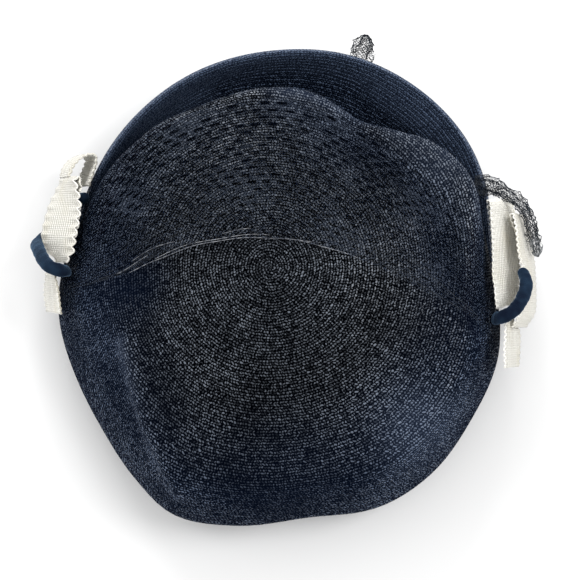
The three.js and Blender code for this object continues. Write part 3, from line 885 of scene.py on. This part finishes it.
def ribbon_finish():
    """White ribbed ribbon, its cords crossed by a fine weave, with painted shade in the hollows between
    them.
    """
    f = Finish("ribbed ribbon")
    along, across = f.cloth()
    cord = (across * CLOTH_SCALE / CORD_PITCH * math.pi).sine().size()
    weave = (along * CLOTH_SCALE / WEAVE_PITCH * math.pi).sine().size()
    fuzz = f.noise(1500.0, 2.0)
    soil = f.noise(60.0, 3.0).ramp(0.45, 0.75)
    # Painted shade: the hollows between the cords, and a little between the weave's threads, are
    # painted darker
    painted_hollow_shade = (1.0 - cord.ramp(0.0, 0.7)) * 0.85 + (1.0 - weave.ramp(0.0, 0.5)) * 0.15
    clean = f.mix(soil, colour(0.77, 0.755, 0.7), colour(0.71, 0.68, 0.59))
    tint = f.mix(painted_hollow_shade.least(1.0), clean, colour(0.3, 0.28, 0.22))
    relief = cord * 0.8 + weave * 0.3 + fuzz * 0.35
    return f.end(
        Base_Color=tint,
        Roughness=0.75,
        Specular_IOR_Level=0.25,
        Subsurface_Weight=0.35,
        Subsurface_Radius=(1.0, 1.0, 1.0),
        Subsurface_Scale=0.004,
        Normal=f.bump(relief, 0.0007, 1.0),
    )


def velvet_finish():
    """Deep navy pile that catches the light towards its edges."""
    f = Finish("velvet")
    pile = f.noise(1900.0, 2.0)
    nap = f.noise(120.0, 2.0).ramp(0.3, 0.75)
    tint = f.mix(nap, colour(0.0025, 0.005, 0.013), colour(0.01, 0.022, 0.042))
    return f.end(
        Base_Color=tint,
        Roughness=0.95,
        Specular_IOR_Level=0.05,
        Sheen_Weight=0.55,
        Sheen_Roughness=0.35,
        Sheen_Tint=colour(0.22, 0.36, 0.55),
        Normal=f.bump(pile, 0.0004, 0.6),
    )


def table_finish():
    f = Finish("white table")
    grain = f.noise(6.0, 2.0)
    tint = f.mix(grain, colour(0.7, 0.7, 0.7), colour(0.72, 0.72, 0.72))
    return f.end(Base_Color=tint, Roughness=0.9, Specular_IOR_Level=0.0)


STRAW = straw_finish()
VEILING = veiling_finish()
NET_THREAD = thread_finish("net thread", colour(0.006, 0.009, 0.015), colour(0.04, 0.048, 0.06))
PALE_THREAD = thread_finish("pale thread", colour(0.03, 0.035, 0.05), colour(0.3, 0.31, 0.33))
RIBBON = ribbon_finish()
VELVET = velvet_finish()


# The straw crown

def crease_height(x, y):
    """How far the creases raise or lower the straw at places in plan."""
    height = np.zeros_like(x)
    for width, rise, line in CREASES:
        nearest = np.full_like(x, 1e6)
        along = Path([(px, py, 0.0) for px, py in line]).at(np.linspace(0, 1, 41))
        for start, end in zip(along[:-1], along[1:]):
            step = end[:2] - start[:2]
            t = np.clip(((x - start[0]) * step[0] + (y - start[1]) * step[1]) / (step @ step), 0, 1)
            away = np.hypot(x - start[0] - t * step[0], y - start[1] - t * step[1])
            nearest = np.minimum(nearest, away)
        height += rise * np.exp(-((nearest / width) ** 2))
    return height


def row_wave(rows):
    return ROW_RELIEF * np.cos(2 * np.pi * (rows - 0.5)) - ROW_RELIEF


def make_crown():
    """One wall of straw, sewn in a spiral from the tip to the foot."""
    per_row = 4
    columns = 144
    lines = per_row * (ROWS_TO_FOOT + 1)
    mean_length = float(crown_lengths.mean())

    def depth(u, v):
        return np.clip(v * lines / per_row + u - 1, 0, ROWS_TO_FOOT)

    def place(u, v):
        rows = depth(u, v)
        angle = 360 * u
        share = rows / ROWS_TO_FOOT
        length = crown_length_at(angle)
        blend = np.clip((share - 0.25) / 0.75, 0, 1) ** 1.4
        true_share = rows * mean_length / ROWS_TO_FOOT / length
        share = true_share * (1 - blend) + share * blend
        points = crown_at(angle, share)
        out = crown_outwards(angle, share)
        fade = np.clip(rows / 1.5, 0, 1)
        creased = crease_height(points[:, 0], points[:, 1]) * np.clip(points[:, 2] / 30, 0, 1)
        raised = row_wave(rows - u) * fade + creased
        points = points + out * raised[:, None]
        at_foot = rows >= ROWS_TO_FOOT - 1e-6
        points[at_foot, 2] = 0
        return points

    def cloth(u, v):
        rows = depth(u, v)
        return u, (rows - u + 1) / ROW_SCALE

    crown = grid_piece("straw_crown", columns, lines, place, cloth)
    close_seams(crown)
    if crown.data.polygons[len(crown.data.polygons) // 3].normal.z < 0:
        turn_over(crown)
    thicken(crown, STRAW_WALL, -1)
    points = np.empty(len(crown.data.vertices) * 3)
    crown.data.vertices.foreach_get("co", points)
    points = points.reshape(-1, 3)
    low = points[:, 2] < 0.0006
    points[low, 2] = 0
    crown.data.vertices.foreach_set("co", points.ravel())
    smooth(crown)
    return dress(crown, STRAW, "straw", "crown")


def make_brim():
    """The brim, turned up round the front half and rolled over at its edge."""
    first = BRIM_SECTIONS[0, 0]
    last = BRIM_SECTIONS[-1, 0]
    columns = 150
    lines = 108
    angles = np.linspace(first, last, columns + 1)
    shares = np.linspace(0, 1, lines + 1)
    table = np.empty((columns + 1, lines + 1, 2))
    lengths = np.empty(columns + 1)
    for i, angle in enumerate(angles):
        table[i], lengths[i] = section_line(brim_section(angle), shares)

    def sample(u, v):
        i = np.clip(np.rint(u * columns).astype(int), 0, columns)
        j = np.clip(np.rint(v * lines).astype(int), 0, lines)
        return i, j

    def from_edge(u, v):
        i, j = sample(u, v)
        return (1 - shares[j]) * lengths[i] / ROW_PITCH

    def place(u, v):
        i, j = sample(u, v)
        a = np.radians(angles[i])
        radius = table[i, j, 0]
        height = table[i, j, 1]
        before = table[i, np.maximum(j - 1, 0)]
        after = table[i, np.minimum(j + 1, lines)]
        along = unit(after - before)
        wave = row_wave(-from_edge(u, v))
        radius = radius - along[:, 1] * wave
        height = height + along[:, 0] * wave
        return np.stack([radius * np.cos(a), radius * np.sin(a), height], axis=-1)

    def cloth(u, v):
        i, j = sample(u, v)
        return angles[i] / 360, (BRIM_ROWS - from_edge(u, v)) / ROW_SCALE

    brim = grid_piece("straw_brim", columns, lines, place, cloth)
    middle = brim.data.polygons[len(brim.data.polygons) // 2 + columns // 2]
    if middle.normal.z < 0:
        turn_over(brim)
    thicken(brim, STRAW_WALL, -1)
    smooth(brim)
    return dress(brim, STRAW, "straw", "brim")


# The veiling

def rolled_out(edge):
    points = []
    for angle, reach in edge:
        a = math.radians(angle)
        points.append((reach * CROWN_RADIUS * math.cos(a), reach * CROWN_RADIUS * math.sin(a), 0))
    return Path(points)


veil_back = rolled_out(VEIL_BACK_EDGE)
veil_front = rolled_out(VEIL_FRONT_EDGE)


def veil_flat(u, v):
    back = veil_back.at(veil_back.time(u))
    front = veil_front.at(veil_front.time(u))
    return back * (1 - v)[:, None] + front * v[:, None]


def on_veil(u, v, above):
    """Places a little above the crown, on the veiling's sheet."""
    flat = veil_flat(u, v)
    angle = np.degrees(np.arctan2(flat[:, 1], flat[:, 0])) % 360
    share = np.hypot(flat[:, 0], flat[:, 1]) / crown_length_at(angle)
    above = np.broadcast_to(above, u.shape)[:, None]
    return crown_at(angle, share) + crown_outwards(angle, share) * above


def make_veil():
    """A fine sheet of net from bow to bow."""

    def place(u, v):
        fold = 0.25 * np.sin(v * 52 + 9 * np.sin(u * 7)) * np.exp(-np.minimum(u, 1 - u) * 9)
        return on_veil(u, v, NET_GAP + NET_LIFT + fold)

    def cloth(u, v):
        return u * NET_LENGTH / CLOTH_SCALE, v * NET_DEPTH / CLOTH_SCALE

    veil = grid_piece("veil_net", 150, 70, place, cloth)
    if veil.data.polygons[len(veil.data.polygons) // 2].normal.z < 0:
        turn_over(veil)
    smooth(veil)
    dress(veil, VEILING, "veiling", "veil_band")
    return veil


def thread(name, points, thickness, sides=5):
    """A round thread through the points."""
    line = Path(points)
    steps = max(int(line.length / 1.4), 6)

    def place(u, v):
        t = line.time(u)
        centre = line.at(t)
        forward = line.heading(t)
        side = unit(np.cross(forward, np.array([0.1, 0.05, 1.0])))
        over = np.cross(side, forward)
        taper = np.where((u < 1e-6) | (u > 1 - 1e-6), 0.02, 1.0)
        turn = 2 * np.pi * v
        spread = side * np.cos(turn)[:, None] + over * np.sin(turn)[:, None]
        return centre + spread * (taper * thickness / 2)[:, None]

    def cloth(u, v):
        return u * line.length / CLOTH_SCALE, v * 0.01

    made = grid_piece(name, steps, sides, place, cloth)
    close_seams(made, 8e-6)
    face_out(made)
    smooth(made)
    return made


def make_veil_threads():
    """The veiling's drawn edge with its wisps, and gathered threads that fan out from both bows."""
    rng = np.random.default_rng(12)
    across = np.linspace(0.2, 0.68, 60)
    edge = [thread("veil_edge", on_veil(across, 0.004 + 0.003 * np.sin(across * 60), 1.3), 0.24)]
    across = np.linspace(0.26, 0.5, 50)
    down = 0.022 + 0.006 * np.sin(across * 44)
    edge.append(thread("veil_edge_second", on_veil(across, down, 1.35), 0.2))
    wisps = ((0.17, 0.25, 0.05), (0.21, 0.31, 0.085), (0.4, 0.46, 0.05), (0.55, 0.6, 0.03))
    for begin, end, level in wisps:
        across = np.linspace(begin, end, 20)
        down = level + 0.02 * np.sin(across * 31)
        edge.append(thread("veil_wisp", on_veil(across, down, 1.35), 0.18))
    dress(join(edge, "veil_drawn_edge"), PALE_THREAD, "veiling")
    gathers = []
    for k in range(30):
        start = 0.0 if k % 3 else 1.0
        begin = rng.uniform(0.02, 0.26)
        reach = begin + rng.uniform(0.08, 0.2)
        level = rng.uniform(0.02, 0.42) ** 1.3
        drift = rng.uniform(-0.02, 0.03)
        s = np.linspace(0, 1, 26)
        u = np.abs(start - begin - s * (reach - begin))
        v = np.clip(level * (0.55 + 0.45 * s) + drift * s, 0.004, 1)
        gathers.append(thread("gather", on_veil(u, v, 1.35), 0.12, 4))
    dress(join(gathers, "veil_gathered_threads"), NET_THREAD, "veiling")


# Bows

# How a ribbon's edges are knurled: length of a lobe, how far in it reaches, how much it swells
KNURLS = {
    "bow_left_front_loop": (4.6, 7.5, 1.7),
    "bow_left_inner_loop": (4.4, 5.5, 1.4),
    "bow_left_tail": (2.6, 4.0, 1.0),
}
SMALL_KNURL = (2.8, 3.4, 1.0)


def make_ribbon(index, name, height, width, lead, path):
    """A ribbed ribbon that stands on its edge along its path, with knurled edges."""
    path = np.asarray(path, float)
    along = Path(path[:, :2] * CROWN_RADIUS)
    shape = Path(path[:, 2:])
    pitch, depth, swell = KNURLS.get(name, SMALL_KNURL)
    columns = int(along.length / 0.55)
    rows = max(int(width * RIBBON_WIDTH / 0.42), 40)

    def place(u, v):
        t = along.time(u)
        form = shape.at(t)
        tilt = form[:, 0]
        share = form[:, 1]
        up = unit(np.stack([tilt, np.full_like(tilt, lead), np.ones_like(tilt)], axis=-1))
        heading = along.heading(t)
        heading = np.stack([heading[:, 0], heading[:, 1], np.zeros_like(tilt)], axis=-1)
        out = unit(np.cross(heading, up))
        wide = share * width * RIBBON_WIDTH
        length = u * along.length
        side = np.sign(v - 0.5)
        inset = (0.5 - np.abs(v - 0.5)) * wide
        lobe = np.abs(np.sin(np.pi * (length / pitch + 0.17 * index + 0.25 * (side > 0))))
        near = np.exp(-((inset / depth) ** 2))
        reach = (v - 0.5) * wide + side * np.exp(-((inset / 2.4) ** 2)) * (lobe - 0.62) * swell
        cords = CORD_HEIGHT * np.abs(np.sin(np.pi * v * width * RIBBON_WIDTH / CORD_PITCH))
        wave = 0.35 * np.sin(v * 17 + index) * np.exp(-u * along.length / 16)
        puff = near * (lobe - 0.5) * swell * 0.8
        centre = along.at(t)
        level = np.full_like(tilt, height * CROWN_HEIGHT)
        foot = np.stack([centre[:, 0], centre[:, 1], level], axis=-1)
        return foot + up * reach[:, None] + out * (cords + wave + puff)[:, None]

    def cloth(u, v):
        return u * along.length / CLOTH_SCALE, v * width * RIBBON_WIDTH / CLOTH_SCALE

    ribbon = grid_piece(name + "_ribbed", columns, rows, place, cloth)
    thicken(ribbon, 0.75 * RIBBON_THICKNESS, 0)
    smooth(ribbon)
    dress(ribbon, RIBBON, "ribbon", name)
    shares = shape.at(along.time(np.linspace(0, 1, 60)))[:, 1]
    flat = (width * RIBBON_WIDTH * 0.001, along.length * 0.001)
    area = flat[0] * flat[1] * float(min(shares.mean(), 1))
    return ribbon


def tube_piece(name, path, steps, sides, swell):
    """A soft closed tube along a path of x, y, z, width and thickness, shaped by swell(u, turn)."""
    line = Path(path[:, :3])
    sizes = Path(path[:, 3:])

    def place(u, v):
        t = line.time(u)
        forward = line.heading(t)
        side = unit(np.stack([forward[:, 1], -forward[:, 0], np.zeros_like(u)], axis=-1))
        over = np.cross(side, forward)
        size = sizes.at(t)
        turn = 2 * np.pi * v
        ends = np.minimum(u, 1 - u) * line.length
        cap = np.sqrt(np.clip(1 - (1 - np.clip(ends / 1.6, 0, 1)) ** 2, 0, 1))
        bulge = swell(u * line.length, turn) * cap
        across = (size[:, 0] / 2 * np.cos(turn) * bulge)[:, None]
        deep = (size[:, 1] / 2 * np.sin(turn) * bulge)[:, None]
        return line.at(t) + side * across + over * deep

    def cloth(u, v):
        return u * line.length / CLOTH_SCALE, v * 0.08

    made = grid_piece(name, steps, sides, place, cloth)
    close_seams(made)
    face_out(made)
    smooth(made)
    return made


def make_velvet(name, path):
    """A tube of velvet, its outer part drawn in against the ribbons."""
    units = np.array([CROWN_RADIUS, CROWN_RADIUS, CROWN_HEIGHT, VELVET_WIDTH])
    rows = np.column_stack([np.asarray(path, float) * units, np.full(len(path), VELVET_THICKNESS)])
    drawn = VELVET_DRAWN_IN * np.clip((np.abs(rows[:, 0]) - 0.95 * CROWN_RADIUS) / 8, 0, 1)
    rows[:, 0] -= np.sign(rows[:, 0]) * drawn

    def swell(length, turn):
        pucker = 0.03 * np.sin(length * 0.9 + 2 * turn) + 0.02 * np.sin(length * 2.3 - turn)
        return 1.0 + pucker

    piece = tube_piece(name + "_pile", rows, 90, 24, swell)
    dress(piece, VELVET, "velvet", name)
    return piece


# Loose ends of the veiling

def net_end(name, path, reach, rise, wide, thick, cell, seed):
    """Gathered net: open, uneven threads round a crumpled form."""
    rows = np.asarray(path, float) * np.array([reach, reach, rise, wide, thick])
    length = Path(rows[:, :3]).length
    rng = np.random.default_rng(seed)
    layers = []
    for layer, shrink in enumerate((1.0, 0.62)):
        lumps = rng.uniform(0, 6.28, 6)

        def swell(along, turn, shrink=shrink, lumps=lumps):
            crumple = 0.16 * np.sin(3 * turn + along * 0.5 + lumps[0])
            crumple = crumple + 0.12 * np.sin(5 * turn - along * 0.8 + lumps[1])
            return shrink * (0.9 + crumple + 0.08 * np.sin(along * 1.7 + lumps[2]))

        made = tube_piece(f"{name}_{layer}", rows, max(int(length / cell), 8), 14, swell)
        pick(made)
        bpy.ops.object.mode_set(mode="EDIT")
        bpy.ops.mesh.select_all(action="SELECT")
        bpy.ops.mesh.poke()
        bpy.ops.mesh.tris_convert_to_quads(face_threshold=3.1, shape_threshold=3.1)
        bpy.ops.mesh.select_mode(type="FACE")
        bpy.ops.mesh.select_all(action="DESELECT")
        bpy.ops.mesh.select_random(ratio=0.38, seed=seed + layer)
        bpy.ops.mesh.delete(type="FACE")
        bpy.ops.mesh.select_mode(type="VERT")
        bpy.ops.mesh.select_all(action="SELECT")
        bpy.ops.object.mode_set(mode="OBJECT")
        strands = np.empty(len(made.data.vertices) * 3)
        made.data.vertices.foreach_get("co", strands)
        strands += rng.uniform(-0.00035, 0.00035, len(strands))
        made.data.vertices.foreach_set("co", strands)
        holes = made.modifiers.new("holes", "WIREFRAME")
        holes.thickness = STRAND
        holes.use_even_offset = False
        bpy.ops.object.modifier_apply(modifier="holes")
        layers.append(made)
    return join(layers, name)


def make_net_ends():
    tail = net_end("net_tail", NET_TAIL, CROWN_RADIUS, CROWN_HEIGHT, TAIL_WIDTH, TAIL_THICKNESS, 2.0, 5)
    dress(tail, tail_finish(), "veiling", "veil_tail_right")
    tuft = net_end("net_tuft", NET_TUFT, BRIM_RADIUS, BRIM_HEIGHT, TUFT_WIDTH, TUFT_THICKNESS, 1.5, 8)
    dress(tuft, NET_THREAD, "veiling", "veil_tuft_front")


# Stage, light and camera

def make_stage():
    bpy.ops.object.select_all(action="DESELECT")
    bpy.ops.mesh.primitive_plane_add(size=6, location=(0, 0, 0))
    table = bpy.context.object
    table.name = "table_top"
    table.data.materials.append(table_finish())
    world = bpy.data.worlds.new("studio")
    world.use_nodes = True
    world.node_tree.nodes["Background"].inputs["Color"].default_value = (1.0, 1.0, 1.0, 1.0)
    world.node_tree.nodes["Background"].inputs["Strength"].default_value = 1.15
    bpy.context.scene.world = world
    bpy.context.scene.view_settings.view_transform = "Standard"


def make_light(name, place, aim, size, power, tint=(1, 1, 1)):
    bpy.ops.object.select_all(action="DESELECT")
    bpy.ops.object.light_add(type="AREA", location=place)
    lamp = bpy.context.object
    lamp.name = name
    lamp.data.shape = "DISK"
    lamp.data.size = size
    lamp.data.energy = power
    lamp.data.color = tint
    dx, dy, dz = (a - p for a, p in zip(aim, place))
    lamp.rotation_euler = (math.atan2(math.hypot(dx, dy), -dz), 0, math.atan2(dy, dx) - math.pi / 2)


def make_camera():
    bpy.ops.object.select_all(action="DESELECT")
    aim = (AIM + TIP) * 0.001
    tilt = math.radians(LEAN)
    place = (aim[0], aim[1] - CAMERA_AWAY * math.sin(tilt), aim[2] + CAMERA_AWAY * math.cos(tilt))
    bpy.ops.object.camera_add(location=place, rotation=(tilt, 0, 0))
    camera = bpy.context.object
    camera.name = "camera"
    camera.data.lens = 36 * FOCUS_PIXELS / PICTURE_PIXELS
    camera.data.sensor_width = 36
    camera.data.clip_start = 0.01
    bpy.context.scene.camera = camera


make_camera()
make_stage()
make_light("high_front", (-0.3, 1.1, 0.8), (0, 0, 0.04), 0.7, 11)
make_light("left_high", (-0.9, 0.3, 1.1), (0, 0, 0.04), 0.6, 2)
make_light("right_high", (0.8, 0.1, 1.2), (0, 0, 0.04), 0.6, 8)
make_crown()
make_brim()
make_veil()
make_veil_threads()
for number, ribbon_row in enumerate(RIBBONS):
    make_ribbon(number, *ribbon_row)
for velvet_row in VELVETS:
    make_velvet(*velvet_row)
make_net_ends()
